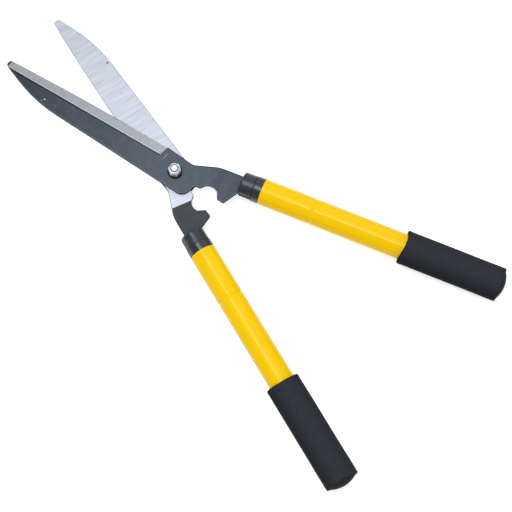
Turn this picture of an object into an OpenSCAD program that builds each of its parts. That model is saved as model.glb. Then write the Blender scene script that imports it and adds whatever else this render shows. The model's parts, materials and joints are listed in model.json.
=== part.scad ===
// Hedge shears: two bevel-ground steel blades on one pivot bolt, each with a
// flat tang held in a moulded ferrule, a steel handle tube, a foam grip and an
// end cap. The rear half carries the left handle and the pivot hardware; the
// front half is its like turned over, and carries the right handle.

/* [Blades] */
// Length of a blade from the pivot to its tip
blade_len = 200; // [170:1:230]
// Thickness of the blade steel
plate_t = 3; // [2.4:0.1:3.6]
// Running gap between the two flat blade faces
blade_gap = 0.1; // [0.06:0.02:0.2]
// Lean of each cutting edge from the centre line, half open as drawn
edge_lean = 13.3; // [12:0.1:16]
// Distance from the pivot to the chord of the cutting edge
edge_offset = 17.9; // [16:0.1:20]
// Belly of the cutting edge, out from its chord
edge_belly = 1.4; // [0.5:0.1:2]
// Distance from the pivot to the back of the blade
spine_offset = 15.9; // [14.5:0.1:18]
// Width of the blade just behind its rounded tip
tip_w = 6.4; // [6:0.1:8.5]
// Distance of the bend in the blade's back from the tip
spine_bend = 43; // [35:1:55]
// Width of the blade at that bend, before it is rounded
bend_w = 24.6; // [22:0.1:27]
// Radius of the bend in the blade's back
spine_r = 160; // [80:5:200]

/* [Bevel] */
// Width of the ground bevel at its heel
bevel_heel_w = 10.2; // [8:0.1:11]
// Width of the ground bevel at the tip
bevel_tip_w = 8.8; // [7.5:0.1:10]
// Thickness of steel left at the cutting edge
edge_land = 0.12; // [0.1:0.02:0.4]
// Distance from the pivot to the end of the bevel
bevel_end = 21.5; // [19:0.5:30]
// Slant of the bevel's end across the blade
bevel_slant = 14; // [0:1:25]

/* [Tangs and stops] */
// Radius of the round lobe below the pivot
lobe_r = 9; // [6:0.5:11]
// Distance from the pivot to the lobe's lower edge
lobe_drop = 18.6; // [17:0.1:21]
// Distance from the pivot to the small tooth beside the scallop
tooth_drop = 29.3; // [28.8:0.1:30]
// Radius of the scallop between the tooth and the stop lug
scallop_r = 9.9; // [8.5:0.1:10.2]
// Depth of the scallop behind the stop face, before it is rounded
scallop_in = 10.3; // [9.8:0.1:10.8]
// Distance from the pivot to the scallop, before it is rounded
scallop_drop = 34.4; // [33.8:0.1:35]
// Lean of the front stop face from the centre line, half open as drawn
front_stop_lean = 10.6; // [9.5:0.1:11.5]
// Lean of the rear stop face from the centre line, half open as drawn
rear_stop_lean = 7.8; // [7:0.1:9]
// Distance from the pivot to the near corner of the stop face
stop_near = 48.1; // [47.5:0.1:49]
// Distance from the pivot to the far corner of the stop face
stop_far = 55.6; // [54:0.1:57]
// Bend of the front tang outwards from the line of its blade
front_bend = 8.1; // [5:0.1:10]
// Bend of the rear tang outwards from the line of its blade
rear_bend = 2.1; // [0:0.1:6]
// Distance from the handle's axis to the tang's outer edge
tang_outer = 6.6; // [5:0.1:8]
// Distance from the handle's axis to the tang's inner edge, in the ferrule
tang_inner = 8; // [6:0.1:9]
// Length of the tang inside its ferrule
tang_depth = 42; // [25:1:48]
// Distance along the handle at which the tang starts its step to mid-plane
joggle_start = 17; // [15:0.5:20]
// Length of the step to mid-plane
joggle_run = 8; // [6:0.5:10]

/* [Pivot hardware] */
// Diameter of the pivot bolt
bolt_d = 6.35; // [5:0.05:7]
// Radial clearance of the bores on the bolt
bore_fit = 0.05; // [0.02:0.01:0.09]
// Width of the nut and of the bolt head across their flats
hex_w = 11.1; // [10.9:0.1:13]
// Turn of the nut on the bolt
nut_turn = 6; // [0:1:59]
// Height of the bolt head
head_h = 4.2; // [3.5:0.1:6]
// Overall height of the lock nut
nut_h = 8; // [7:0.1:10]
// Height of the round collar on the lock nut
nut_collar_h = 1.8; // [1.7:0.1:2.6]
// Diameter of the round collar on the lock nut
nut_collar_d = 10.6; // [10.4:0.1:10.9]
// Outside diameter of the nylon locking ring
ring_d = 8.9; // [8.5:0.1:9.2]
// Height of the nylon locking ring
ring_h = 1.2; // [0.9:0.1:1.4]
// Length of bolt left proud of the nut
bolt_proud = 0.8; // [0.2:0.1:3]
// Outside diameter of the washers
washer_d = 14; // [13.5:0.1:18]
// Thickness of the washers
washer_t = 1.6; // [1:0.1:2]

/* [Handles] */
// Distance from the shoulder of the plate to the mouth of the ferrule
mouth = 43; // [42:0.5:47]
// Length of the ferrule's slotted nose
nose_len = 13.3; // [11:0.1:18]
// Diameter of the nose at its mouth
nose_d = 23.6; // [21.5:0.1:24]
// Diameter of the nose where it meets the shoulder
nose_root_d = 23.9; // [23:0.1:24.5]
// Length of the shoulder that the tube butts against
shoulder_len = 8; // [4:0.1:9]
// How much smaller the shoulder is than the tube
shoulder_step = 0.2; // [0.1:0.1:0.8]
// Clearance between the tang and its slot
slot_fit = 0.1; // [0.05:0.05:0.2]
// Outside diameter of the handle tube
tube_d = 25.4; // [25:0.1:28]
// Wall of the handle tube
tube_wall = 1.2; // [0.8:0.1:1.6]
// Length of tube that shows between the ferrule and the grip
tube_show = 146; // [120:1:180]
// Distance from the tube's front end to its rolled groove
groove_at = 52.5; // [50:0.5:60]
// Width of the rolled groove
groove_w = 5; // [4:0.5:8]
// Depth of the rolled groove
groove_depth = 0.5; // [0.3:0.05:0.8]
// Length of the ferrule's stem inside the tube
stem_len = 64; // [60:1:80]
// Clearance between the tube and what is pressed into it
tube_fit = 0.05; // [0.02:0.01:0.1]

/* [Grips] */
// Thickness of the foam grips
foam_t = 3.7; // [2.5:0.1:6]
// Length of the right grip
right_grip_len = 95.5; // [80:0.5:120]
// Length of the left grip
left_grip_len = 105; // [80:0.5:120]
// Rounding of the grips' rims
grip_round = 2; // [1:0.1:2.4]
// Lap of the end cap's dome over the outside of the tube
cap_lap = 1.3; // [0.8:0.1:1.8]
// Height of the end cap's dome
cap_h = 4; // [3:0.1:6]
// Length of the end cap's plug inside the tube
cap_plug = 16; // [10:1:24]
// Wall of the end cap's plug
cap_wall = 2; // [1.4:0.1:3]
// Number of ribs on the end cap's plug
cap_ribs = 3; // [2:1:5]
// Height of those ribs, and half their width
cap_rib = 0.6; // [0.3:0.1:0.8]

/* [Hidden] */

// Which half a piece belongs to
REAR = 0;
FRONT = 1;

// Finishes
coated_steel = "#4d565f";
zinc = "#d5d8db";
blackened = "#2b2d30";
nylon = "#4a4e52";
moulding = "#3a3d42";
enamel = "#fcd000";
foam = "#2a2f37";

// Smoothness of revolved pieces, and the turn of one step along a rounded corner
$fn = 96;
arc_step = 9;
arc_least = 6;
// Spare length that makes a cut pass right through
through = 1;
// Larger than any plate outline
beyond = 600;

// Heights through the pivot stack, from the plane in which the blades shear
face_z = blade_gap / 2;
back_z = face_z + plate_t;
nut_seat = back_z + blade_gap;
nut_z = nut_seat + washer_t;
head_z = back_z + washer_t;
bolt_end = nut_z + nut_h + bolt_proud;
bore_d = bolt_d + 2 * bore_fit;
ring_lip = (nut_collar_h - ring_h) / 2;
ring_z = nut_z + nut_h - ring_lip - ring_h;
collar_round = 1;
bolt_tip_cut = 0.5;
ring_edge = 0.3;
// Flat end of a hexagon as a share of its width, and the slope of its corner chamfer
hex_flat = 0.94;
hex_slope = 30;

// Corner sizes of the blade outline
tip_edge_r = 2.8;
tip_back_r = 3.6;
tip_rake = 1.2;
spine_slope = (edge_offset + spine_offset - bend_w) / (blade_len - spine_bend);
heel_r = 20;
heel_at = 18;
edge_mid = (blade_len + heel_at) / 2;
edge_half = (blade_len - heel_at) / 2;
edge_share = 0.965;
edge_r = edge_share * edge_half / tan(atan(2 * edge_belly / edge_half));
bevel_mid_w = (bevel_heel_w + bevel_tip_w) / 2 + edge_belly;
bevel_angle = atan((plate_t - edge_land) / bevel_mid_w);

// Corners between the lobe and the tang, from the radial line of the stop face
tooth_root = [0.7, -23.9, 2.5];
tooth = [0.25, -tooth_drop, 2.2];
scallop = [-scallop_in, -scallop_drop, scallop_r];
lug_foot = [-6.5, -44, 1.3];
stop_near_r = 2;
stop_far_r = 1.7;

// Corner sizes of the tang
shoulder = [-15, -11.5, 9];
tang_turn_at = 20;
tang_turn_r = 45;
tang_lap = 2;
bend_r = 4;

// Where the handle's axis leaves the plate, and stations along that axis
tang_root = [-17.6, -17.7];
seam = mouth + nose_len;
tube_start = seam + shoulder_len;
grip_start = tube_start + tube_show;
stem_end = tube_start + stem_len;
tang_end = mouth + tang_depth;
tube_r = tube_d / 2;
grip_d = tube_d + 2 * foam_t;
cap_d = tube_d + 2 * cap_lap;
tube_in = tube_r - tube_wall;
shoulder_r = tube_r - shoulder_step / 2;
nose_round = 2;
tang_entry = (nose_d - nose_round) / 2;
seam_cut = 0.5;
rim_cut = 0.3;
groove_steps = 10;
stem_lead = 1.5;
dome_steps = 8;

// Origin under the middle of the part, on the surface it lies on
root_rest = turned(tang_root, -edge_lean);
right_lean = edge_lean + front_bend;
left_lean = edge_lean + rear_bend;
right_end = grip_start + right_grip_len;
left_end = grip_start + left_grip_len;
right_x = -root_rest.x + sin(right_lean) * right_end + cos(right_lean) * grip_d / 2;
left_x = -root_rest.x + sin(left_lean) * left_end + cos(left_lean) * grip_d / 2;
right_y = root_rest.y - cos(right_lean) * right_end - sin(right_lean) * grip_d / 2;
left_y = root_rest.y - cos(left_lean) * left_end - sin(left_lean) * grip_d / 2;
tip_y = turned([tip_w - edge_offset, blade_len + tip_rake], -edge_lean).y;
pivot_at = [(left_x - right_x) / 2, -(tip_y + min(left_y, right_y)) / 2, grip_d / 2];

// A point turned about the origin
function turned(p, a) = [p.x * cos(a) - p.y * sin(a), p.x * sin(a) + p.y * cos(a)];

// A direction of length one
function unit(v) = v / norm(v);

// The bend of one half's tang
function bend(half) = half == FRONT ? front_bend : rear_bend;

// A corner given from the radial line of one half's stop face, as a corner of its blade
function from_stop(half, c) =
    with_r(turned(c, edge_lean - (half == FRONT ? front_stop_lean : rear_stop_lean)), c.z);

// The end of one half's tube
function tube_end(half) = half == FRONT ? right_end : left_end;

// A point beside the handle's axis: s along it, w outwards from it
function beside(half, s, w) =
    tang_root + turned([-w, -s], -bend(half));

// A rounded corner at q, between p and n, as points along its arc
function corner(p, q, n) =
    let (
        at = [q.x, q.y],
        u = unit([p.x, p.y] - at),
        v = unit([n.x, n.y] - at),
        turn = 180 - acos(u * v),
        centre = at + unit(u + v) * q.z / cos(turn / 2),
        start = at + u * q.z * tan(turn / 2) - centre,
        way = -sign(cross(u, v)),
        steps = max(arc_least, ceil(turn / arc_step))
    )
    q.z == 0 ? [at] : [for (k = [0:steps]) centre + turned(start, way * turn * k / steps)];

// A closed outline from corners given as [x, y, radius]
function rounded(c) =
    [for (i = [0:len(c) - 1]) each corner(c[(i + len(c) - 1) % len(c)], c[i], c[(i + 1) % len(c)])];

// A corner of the outline from a point and its radius
function with_r(p, r) = [p.x, p.y, r];

// Depth of the rolled groove at z from its middle
function groove(z) = groove_depth * (1 + cos(360 * z / groove_w)) / 2;

// One side of the rolled groove, as points [radius, s]
function groove_line(r) =
    [for (k = [0:groove_steps])
        let (z = groove_w * (k / groove_steps - 0.5))
        [r - groove(z), tube_start + groove_at + z]];

// Places one half: the front half is the rear one turned over
module place(half) {
    translate(pivot_at) rotate([0, half == FRONT ? 180 : 0, 0]) rotate(-edge_lean) children();
}

// Places a piece on one half's handle, with its Z along the handle's axis
module on_handle(half) {
    place(half)
        translate(tang_root) rotate(-bend(half)) rotate([90, 0, 0]) children();
}

// Places a piece on the pivot's axis
module on_pivot() {
    translate(pivot_at) children();
}

// Outline of a blade with its pivot lobe, stop lug and tang
module blade_outline(half) {
    polygon(rounded([
        [-edge_offset, blade_len, tip_edge_r],
        [tip_w - edge_offset, blade_len + tip_rake, tip_back_r],
        [bend_w - edge_offset, blade_len - spine_bend, spine_r],
        [spine_offset + lobe_drop * spine_slope, -lobe_drop, lobe_r],
        from_stop(half, tooth_root),
        from_stop(half, tooth),
        from_stop(half, scallop),
        from_stop(half, lug_foot),
        from_stop(half, [0, -stop_near, stop_near_r]),
        from_stop(half, [0, -stop_far, stop_far_r]),
        with_r(beside(half, mouth, -tang_entry), 0),
        with_r(beside(half, mouth + tang_lap, -tang_inner), 0),
        with_r(beside(half, tang_end, -tang_inner), 0),
        with_r(beside(half, tang_end, tang_outer), 0),
        with_r(beside(half, tang_turn_at, tang_outer), tang_turn_r),
        shoulder,
        [-edge_offset, heel_at, heel_r],
        [-edge_offset - 2 * edge_belly, edge_mid, edge_r]
    ]));
}

// Side view of a plate as [height, s]: flat at the pivot, then stepped to mid-plane
module plate_profile() {
    step_end = joggle_start + joggle_run;
    polygon(rounded([
        [-back_z, -beyond / 2, 0],
        [-back_z, joggle_start, bend_r],
        [-plate_t / 2, step_end, bend_r],
        [-plate_t / 2, beyond / 2, 0],
        [plate_t / 2, beyond / 2, 0],
        [plate_t / 2, step_end, bend_r],
        [-face_z, joggle_start, bend_r],
        [-face_z, -beyond / 2, 0]
    ]));
}

// Waste of the ground bevel, below a plane that meets the cutting edge
module bevel_cut() {
    run = blade_len - bevel_end;
    skew = atan((bevel_heel_w - bevel_tip_w) / run);
    wide = 2 * bevel_heel_w;
    translate([bevel_heel_w - edge_offset, bevel_end, -back_z])
        rotate(skew)
            rotate([0, bevel_angle, 0])
                translate([0, 0, -2 * plate_t])
                    linear_extrude(2 * plate_t)
                        polygon([
                            [wide, wide * tan(bevel_slant)],
                            [wide, 2 * run],
                            [-wide, 2 * run],
                            [-wide, -wide * tan(bevel_slant)]
                        ]);
}

// One blade, lying as the rear one does: flat face up, bevel below
module blade(half) {
    difference() {
        intersection() {
            translate([0, 0, -beyond / 2]) linear_extrude(beyond) blade_outline(half);
            translate(tang_root)
                rotate(-bend(half))
                    rotate([90, 0, 0])
                        rotate([90, 0, 90])
                            linear_extrude(beyond, center = true) plate_profile();
        }
        bevel_cut();
        cylinder(d = bore_d, h = beyond, center = true);
    }
}

module front_blade() {
    color(coated_steel) place(FRONT) blade(FRONT);
}

module rear_blade() {
    color(coated_steel) place(REAR) blade(REAR);
}

// A six-sided prism whose corners are taken off by a cone at the top
module chamfered_hex(across, h) {
    corner_r = across / sqrt(3);
    flat_r = hex_flat * across / 2;
    intersection() {
        cylinder(r = corner_r, h = h, $fn = 6);
        rotate_extrude() polygon([
            [0, 0],
            [corner_r, 0],
            [corner_r, h - (corner_r - flat_r) * tan(hex_slope)],
            [flat_r, h],
            [0, h]
        ]);
    }
}

module pivot_bolt() {
    color(zinc) on_pivot() {
        rotate([180, 0, 0]) translate([0, 0, head_z]) chamfered_hex(hex_w, head_h);
        translate([0, 0, -head_z]) cylinder(d = bolt_d, h = head_z + bolt_end - bolt_tip_cut);
        translate([0, 0, bolt_end - bolt_tip_cut])
            cylinder(d1 = bolt_d, d2 = bolt_d - 2 * bolt_tip_cut, h = bolt_tip_cut);
    }
}

// A flat washer on the pivot bolt
module washer() {
    difference() {
        cylinder(d = washer_d, h = washer_t);
        translate([0, 0, -through]) cylinder(d = bore_d, h = washer_t + 2 * through);
    }
}

module head_washer() {
    color(zinc) on_pivot() translate([0, 0, -head_z]) washer();
}

module nut_washer() {
    color(blackened) on_pivot() translate([0, 0, nut_seat]) washer();
}

// Lock nut: a hexagon with a round collar that is rolled over the nylon ring
module pivot_nut() {
    hex_h = nut_h - nut_collar_h;
    color(zinc) on_pivot() difference() {
        translate([0, 0, nut_z]) {
            rotate(nut_turn) chamfered_hex(hex_w, hex_h);
            rotate_extrude() polygon(concat(
                [[0, hex_h / 2], [nut_collar_d / 2, hex_h / 2]],
                corner(
                    [nut_collar_d / 2, hex_h],
                    [nut_collar_d / 2, nut_h, collar_round],
                    [0, nut_h]
                ),
                [[0, nut_h]]
            ));
        }
        translate([0, 0, nut_z - through]) cylinder(d = bore_d, h = nut_h + 2 * through);
        translate([0, 0, ring_z]) cylinder(d = ring_d, h = ring_h);
        translate([0, 0, ring_z + ring_h / 2])
            cylinder(d = ring_d - 2 * ring_edge, h = ring_h + through);
    }
}

module nut_insert() {
    color(nylon) on_pivot() translate([0, 0, ring_z]) difference() {
        cylinder(d = ring_d - 2 * bore_fit, h = ring_h);
        translate([0, 0, -through]) cylinder(d = bore_d, h = ring_h + 2 * through);
    }
}

// Ferrule: a slotted nose, a shoulder for the tube and a stem with the crimp groove
module ferrule(half) {
    stem_r = tube_in - tube_fit;
    slot_h = plate_t + 2 * slot_fit;
    pocket_w = tang_inner + tang_outer + 2 * slot_fit;
    color(moulding) on_handle(half) difference() {
        rotate_extrude() polygon(concat(
            [[0, mouth]],
            corner([0, mouth], [nose_d / 2, mouth, nose_round], [nose_root_d / 2, seam - seam_cut]),
            [
                [nose_root_d / 2, seam - seam_cut],
                [nose_root_d / 2 - seam_cut, seam - seam_cut],
                [nose_root_d / 2 - seam_cut, seam],
                [shoulder_r - rim_cut, seam],
                [shoulder_r, seam + rim_cut],
                [shoulder_r, tube_start],
                [stem_r, tube_start]
            ],
            groove_line(stem_r),
            [
                [stem_r, stem_end - stem_lead],
                [stem_r - stem_lead, stem_end],
                [0, stem_end]
            ]
        ));
        translate([-tube_d, -slot_h / 2, mouth - through])
            cube([2 * tube_d, slot_h, nose_len + through - seam_cut]);
        translate([-tang_outer - slot_fit, -slot_h / 2, mouth])
            cube([pocket_w, slot_h, tang_depth + slot_fit]);
    }
}

module right_ferrule() {
    ferrule(FRONT);
}

module left_ferrule() {
    ferrule(REAR);
}

// Handle tube, rolled into the groove of the ferrule's stem
module tube(half) {
    finish = tube_end(half);
    color(enamel) on_handle(half) rotate_extrude() polygon(concat(
        [[tube_in, tube_start], [tube_r - rim_cut, tube_start], [tube_r, tube_start + rim_cut]],
        groove_line(tube_r),
        [[tube_r, finish], [tube_in, finish]],
        [for (p = groove_line(tube_in)) [p.x, 2 * (tube_start + groove_at) - p.y]]
    ));
}

module right_tube() {
    tube(FRONT);
}

module left_tube() {
    tube(REAR);
}

// Foam sleeve stretched over the end of a tube
module grip(half) {
    finish = tube_end(half);
    color(foam) on_handle(half) rotate_extrude() polygon(rounded([
        [tube_r + tube_fit, grip_start, 0],
        [grip_d / 2, grip_start, grip_round],
        [grip_d / 2, finish, grip_round],
        [tube_r + tube_fit, finish, 0]
    ]));
}

module right_grip() {
    grip(FRONT);
}

module left_grip() {
    grip(REAR);
}

// End cap: a low dome over the tube's end, on a hollow ribbed plug, as one turned profile
module end_cap(half) {
    finish = tube_end(half);
    plug_r = tube_in - tube_fit;
    core_r = plug_r - cap_rib;
    bore_r = core_r - cap_wall;
    rib_gap = cap_plug / (cap_ribs + 1);
    dome_r = (pow(cap_d / 2, 2) + cap_h * cap_h) / (2 * cap_h);
    dome_half = asin(cap_d / 2 / dome_r);
    color(moulding) on_handle(half) rotate_extrude() polygon(concat(
        [[0, finish], [bore_r, finish], [bore_r, finish - cap_plug], [core_r, finish - cap_plug]],
        [for (k = [cap_ribs:-1:1])
            let (s = finish - k * rib_gap)
            each [[core_r, s - cap_rib], [plug_r, s], [plug_r, s + cap_rib], [core_r, s + cap_rib]]],
        [[core_r, finish], [cap_d / 2, finish]],
        [for (k = [1:dome_steps])
            let (a = dome_half * (1 - k / dome_steps))
            [dome_r * sin(a), finish + cap_h - dome_r * (1 - cos(a))]]
    ));
}

module right_end_cap() {
    end_cap(FRONT);
}

module left_end_cap() {
    end_cap(REAR);
}

front_blade();
rear_blade();
pivot_bolt();
head_washer();
nut_washer();
pivot_nut();
nut_insert();
right_ferrule();
left_ferrule();
right_tube();
left_tube();
right_grip();
left_grip();
right_end_cap();
left_end_cap();
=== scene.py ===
"""Looks of the hedge shears: softened steel, foam grips, finishes and a white studio."""

import json
import logging
import math
from collections.abc import Callable, Sequence
from dataclasses import dataclass, field
from enum import Enum
from typing import Any

import bmesh
import bpy
from mathutils import Matrix, Quaternion, Vector, noise


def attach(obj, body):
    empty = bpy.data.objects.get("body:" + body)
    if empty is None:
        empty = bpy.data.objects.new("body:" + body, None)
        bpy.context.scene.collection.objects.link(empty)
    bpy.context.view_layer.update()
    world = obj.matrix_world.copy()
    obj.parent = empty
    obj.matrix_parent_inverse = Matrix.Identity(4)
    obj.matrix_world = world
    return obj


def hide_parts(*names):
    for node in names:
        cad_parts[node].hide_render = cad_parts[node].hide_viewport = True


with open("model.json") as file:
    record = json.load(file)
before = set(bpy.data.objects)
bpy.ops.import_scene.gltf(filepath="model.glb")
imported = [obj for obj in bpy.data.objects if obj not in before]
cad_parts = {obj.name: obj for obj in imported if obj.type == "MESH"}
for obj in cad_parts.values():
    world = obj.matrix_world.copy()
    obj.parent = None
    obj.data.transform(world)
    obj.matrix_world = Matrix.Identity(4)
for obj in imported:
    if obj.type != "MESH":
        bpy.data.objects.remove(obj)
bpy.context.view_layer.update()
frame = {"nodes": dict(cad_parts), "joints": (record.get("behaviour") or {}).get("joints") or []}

Tree = bpy.types.NodeTree
Socket = bpy.types.NodeSocket
Node = bpy.types.Node
Material = bpy.types.Material
Piece = bpy.types.Object
Shape = bmesh.types.BMesh
Face = bmesh.types.BMFace
Edge = bmesh.types.BMEdge

MM = 0.001
PIVOT = Vector(frame["joints"][0]["pos_m"])
EDGE_LEAN = math.radians(13.3)  # of each cutting edge from the centre line
WELD = 0.0005 * MM  # corners closer than this are one corner
SLIVER = 0.02 * MM  # edges shorter than this are closed
COPLANAR = math.radians(0.3)  # faces that meet flatter than this are one face
SNAP = 0.001 * MM  # corners closer than this to a cut lie on it
TOUCH = 0.01 * MM  # slack in asking whether a corner lies on a surface
# The rays that show the surroundings, as the Light Path node names them.
SHOWING_RAYS = ("Is Camera Ray", "Is Glossy Ray", "Is Transmission Ray")
log = logging.getLogger("hedge_shears")


class Half(Enum):
    """The two halves of the shears, by the body that each one rides on."""

    REAR = "rear_half"
    FRONT = "front_half"


def linear(code: str) -> tuple[float, float, float, float]:
    """Turns an sRGB hex colour into the linear colour that shaders take.

    Args:
        code: Six hex digits.

    Returns:
        Linear red, green, blue and a full alpha.
    """
    channels = [int(code[i:i + 2], 16) / 255 for i in (0, 2, 4)]
    red, green, blue = (
        c / 12.92 if c <= 0.04045 else ((c + 0.055) / 1.055) ** 2.4 for c in channels
    )
    return red, green, blue, 1.0


def per_metre(size_mm: float) -> float:
    """Gives a texture scale whose pattern repeats about every size_mm."""
    return 1.0 / (size_mm * MM)


def add_node(
    tree: Tree, kind: str, links: dict[str | int, Any] | None = None, **settings: Any
) -> Node:
    """Adds one node with its settings and links.

    Args:
        tree: The node tree that takes it.
        kind: The node's type without the ShaderNode prefix.
        links: Sockets to link, or values to set, by input name or number.
        settings: Properties of the node itself.

    Returns:
        The new node.
    """
    made = tree.nodes.new("ShaderNode" + kind)
    for name, value in settings.items():
        setattr(made, name, value)
    for key, value in (links or {}).items():
        if isinstance(value, Socket):
            tree.links.new(value, made.inputs[key])
        else:
            made.inputs[key].default_value = value
    return made


def flat_reach(tree: Tree, place: Socket, at: Vector) -> Socket:
    """Measures how far a place is from a point, seen along the bolt.

    Args:
        tree: The material's node tree.
        place: Object coordinates.
        at: The point.

    Returns:
        The distance across the plate, in metres.
    """
    spoke = add_node(tree, "VectorMath", {0: place, 1: at}, operation="SUBTRACT")
    flat = add_node(
        tree, "VectorMath", {0: spoke.outputs[0], 1: (1.0, 1.0, 0.0)}, operation="MULTIPLY"
    )
    return add_node(tree, "VectorMath", {0: flat.outputs[0]}, operation="LENGTH").outputs[1]


@dataclass(frozen=True)
class Mark:
    """A small round mark on a plate: a chip in its coat or a pit in its steel."""

    x_mm: float
    y_mm: float
    radius_mm: float
    share: float = 1.0
    core: float = 0.6  # share of the radius inside which the mark is full

    def draw(self, tree: Tree, place: Socket, under: Socket, code: str) -> Socket:
        """Draws the mark over a colour.

        Args:
            tree: The material's node tree.
            place: Object coordinates.
            under: The colour so far.
            code: The mark's own colour.

        Returns:
            The colour with the mark.
        """
        reach = flat_reach(tree, place, PIVOT + Vector((self.x_mm, self.y_mm, 0.0)) * MM)
        radius = self.radius_mm * MM
        bare = add_node(
            tree, "MapRange", {0: reach, 1: self.core * radius, 2: radius, 3: self.share, 4: 0.0}
        )
        return add_node(
            tree, "Mix", {0: bare.outputs[0], 6: under, 7: linear(code)}, data_type="RGBA"
        ).outputs[2]


@dataclass(frozen=True)
class Finish:
    """A surface finish: what the eye gets from one real material."""

    name: str
    roughness: float
    metallic: float = 0.0
    specular: float = 0.5

    def material(self) -> Material:
        """Makes the finish's material.

        Returns:
            A material with one Principled shader, dressed by the finish.
        """
        made = bpy.data.materials.new(self.name)
        made.use_nodes = True
        tree = made.node_tree
        shader = tree.nodes["Principled BSDF"]
        shader.inputs["Metallic"].default_value = self.metallic
        shader.inputs["Roughness"].default_value = self.roughness
        shader.inputs["Specular IOR Level"].default_value = self.specular
        place = add_node(tree, "TexCoord").outputs["Object"]
        self.dress(tree, shader, place)
        return made

    def dress(self, tree: Tree, shader: Node, place: Socket) -> None:
        """Links the finish's patterns to its shader.

        Args:
            tree: The material's node tree.
            shader: Its Principled shader.
            place: Object coordinates.
        """
        raise NotImplementedError


@dataclass(frozen=True)
class BakedCoat(Finish):
    """Dark coat baked on rolled carbon steel: a cloudy slate, sleek with oil round the pivot, and
    darker towards the tip as painted shade.
    """

    # The blue in dark and light is partly the coat's own tone and partly a painted reflection of
    # the blue lamps.
    dark: str = "36424b"
    light: str = "4b5662"
    # The coat's colour far from the pivot: painted shade.
    painted_tip_shade: str = "22292f"
    scuff: str = "98a2ab"
    chip: str = "d4d8dc"
    dull: float = 0.8
    painted_tip_shade_from: float = 108.0 * MM
    painted_tip_shade_to: float = 215.0 * MM
    oil_from: float = 18.0 * MM
    oil_to: float = 95.0 * MM
    cloud_mm: float = 7.0
    cloud_span: tuple[float, float] = (0.25, 0.75)
    scuff_mm: float = 3.4
    scuff_span: tuple[float, float] = (0.74, 0.8)
    scuff_share: float = 0.45
    # The grain of rolled plate is about 0.2 mm: drawn coarser, so that it shows in the render.
    grain_mm: float = 0.9
    grain_depth: float = 0.03 * MM
    grain_strength: float = 0.25
    rough_swing: tuple[float, float] = (-0.06, 0.08)
    arc_at: Vector | None = None
    arc_end: Vector | None = None
    arc_r: float = 7.9 * MM
    arc_band: tuple[float, float] = (0.25 * MM, 0.6 * MM)
    arc_fade: tuple[float, float] = (0.6 * MM, 4.8 * MM)
    arc_share: float = 0.85
    chips: tuple[Mark, ...] = ()

    def dress(self, tree: Tree, shader: Node, place: Socket) -> None:
        """Links clouds, painted shade towards the tip, scuffs, chips, a rubbed arc and the rolled
        grain to the shader.
        """
        cloud = add_node(
            tree, "TexNoise",
            {"Vector": place, "Scale": per_metre(self.cloud_mm), "Detail": 5.0, "Roughness": 0.75},
        )
        low, high = self.cloud_span
        spread = add_node(tree, "MapRange", {0: cloud.outputs[0], 1: low, 2: high})
        mixed = add_node(
            tree, "Mix",
            {0: spread.outputs[0], 6: linear(self.dark), 7: linear(self.light)}, data_type="RGBA",
        )
        far = add_node(tree, "VectorMath", {0: place, 1: PIVOT}, operation="DISTANCE")
        # Painted shade: the coat darkens with distance from the pivot, standing in for light that
        # falls off towards the tip.
        painted_tip_shade_share = add_node(
            tree, "MapRange", {0: far.outputs[1], 1: self.painted_tip_shade_from, 2: self.painted_tip_shade_to}
        )
        tone = add_node(
            tree, "Mix", {0: painted_tip_shade_share.outputs[0], 6: mixed.outputs[2], 7: linear(self.painted_tip_shade)},
            data_type="RGBA",
        )
        speck = add_node(
            tree, "TexNoise",
            {"Vector": place, "Scale": per_metre(self.scuff_mm), "Detail": 2.0, "Distortion": 1.2},
        )
        low, high = self.scuff_span
        worn = add_node(
            tree, "MapRange", {0: speck.outputs[0], 1: low, 2: high, 3: 0.0, 4: self.scuff_share}
        ).outputs[0]
        if self.arc_at is not None:
            worn = self.rubbed_arc(tree, place, worn)
        coat = add_node(
            tree, "Mix", {0: worn, 6: tone.outputs[2], 7: linear(self.scuff)}, data_type="RGBA"
        ).outputs[2]
        for chip in self.chips:
            coat = chip.draw(tree, place, coat, self.chip)
        tree.links.new(coat, shader.inputs["Base Color"])
        grain = add_node(
            tree, "TexNoise", {"Vector": place, "Scale": per_metre(self.grain_mm), "Detail": 3.0}
        )
        oiled = add_node(
            tree, "MapRange",
            {0: far.outputs[1], 1: self.oil_from, 2: self.oil_to, 3: self.roughness, 4: self.dull},
        )
        low, high = self.rough_swing
        swing = add_node(tree, "MapRange", {0: grain.outputs[0], 3: low, 4: high})
        rough = add_node(
            tree, "Math", {0: oiled.outputs[0], 1: swing.outputs[0]}, operation="ADD"
        )
        tree.links.new(rough.outputs[0], shader.inputs["Roughness"])
        bump = add_node(
            tree, "Bump",
            {"Strength": self.grain_strength, "Distance": self.grain_depth,
             "Height": grain.outputs[0]},
        )
        tree.links.new(bump.outputs[0], shader.inputs["Normal"])

    def rubbed_arc(self, tree: Tree, place: Socket, worn: Socket) -> Socket:
        """Adds the short arc that a turning washer rubbed into the coat.

        Args:
            tree: The material's node tree.
            place: Object coordinates.
            worn: The share of bare scuff so far.

        Returns:
            The share of bare scuff with the arc.
        """
        reach = flat_reach(tree, place, self.arc_at)
        off = add_node(tree, "Math", {0: reach, 1: self.arc_r}, operation="SUBTRACT")
        size = add_node(tree, "Math", {0: off.outputs[0]}, operation="ABSOLUTE")
        full, bare = self.arc_band
        band = add_node(
            tree, "MapRange", {0: size.outputs[0], 1: full, 2: bare, 3: self.arc_share, 4: 0.0}
        )
        far = add_node(tree, "VectorMath", {0: place, 1: self.arc_end}, operation="DISTANCE")
        full, bare = self.arc_fade
        near = add_node(
            tree, "MapRange", {0: far.outputs[1], 1: full, 2: bare, 3: 1.0, 4: 0.0}
        )
        arc = add_node(
            tree, "Math", {0: band.outputs[0], 1: near.outputs[0]}, operation="MULTIPLY"
        )
        return add_node(
            tree, "Math", {0: worn, 1: arc.outputs[0]}, operation="MAXIMUM"
        ).outputs[0]


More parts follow.
